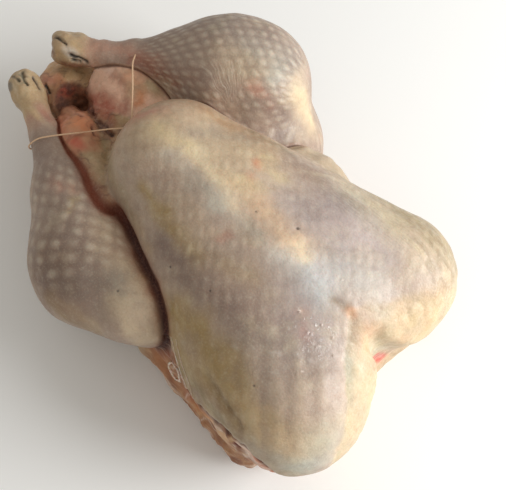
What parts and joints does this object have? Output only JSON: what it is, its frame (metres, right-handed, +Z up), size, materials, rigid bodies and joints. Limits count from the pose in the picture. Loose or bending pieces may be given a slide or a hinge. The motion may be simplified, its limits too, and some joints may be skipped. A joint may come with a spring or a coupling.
{
  "type": "whole raw turkey",
  "caption": "Whole plucked raw turkey lying breast up, wings cut off, legs drawn up and tied at the shanks with kitchen string.",
  "frame": {"origin": "on the flat underside of the back, below the middle of the body's width, about 250 mm from the cut ends of the legs", "axes": "+X from the legs and tail towards the neck, +Y towards the bird's far side in the picture, +Z up out of the breast"},
  "size_m": [0.4221, 0.3024, 0.146],
  "materials": {
    "bird": "moist skin",
    "string": "plain twisted cotton"
  },
  "bodies": {
    "root": {"bird": "bird", "string": "string"}
  },
  "joints": []
}
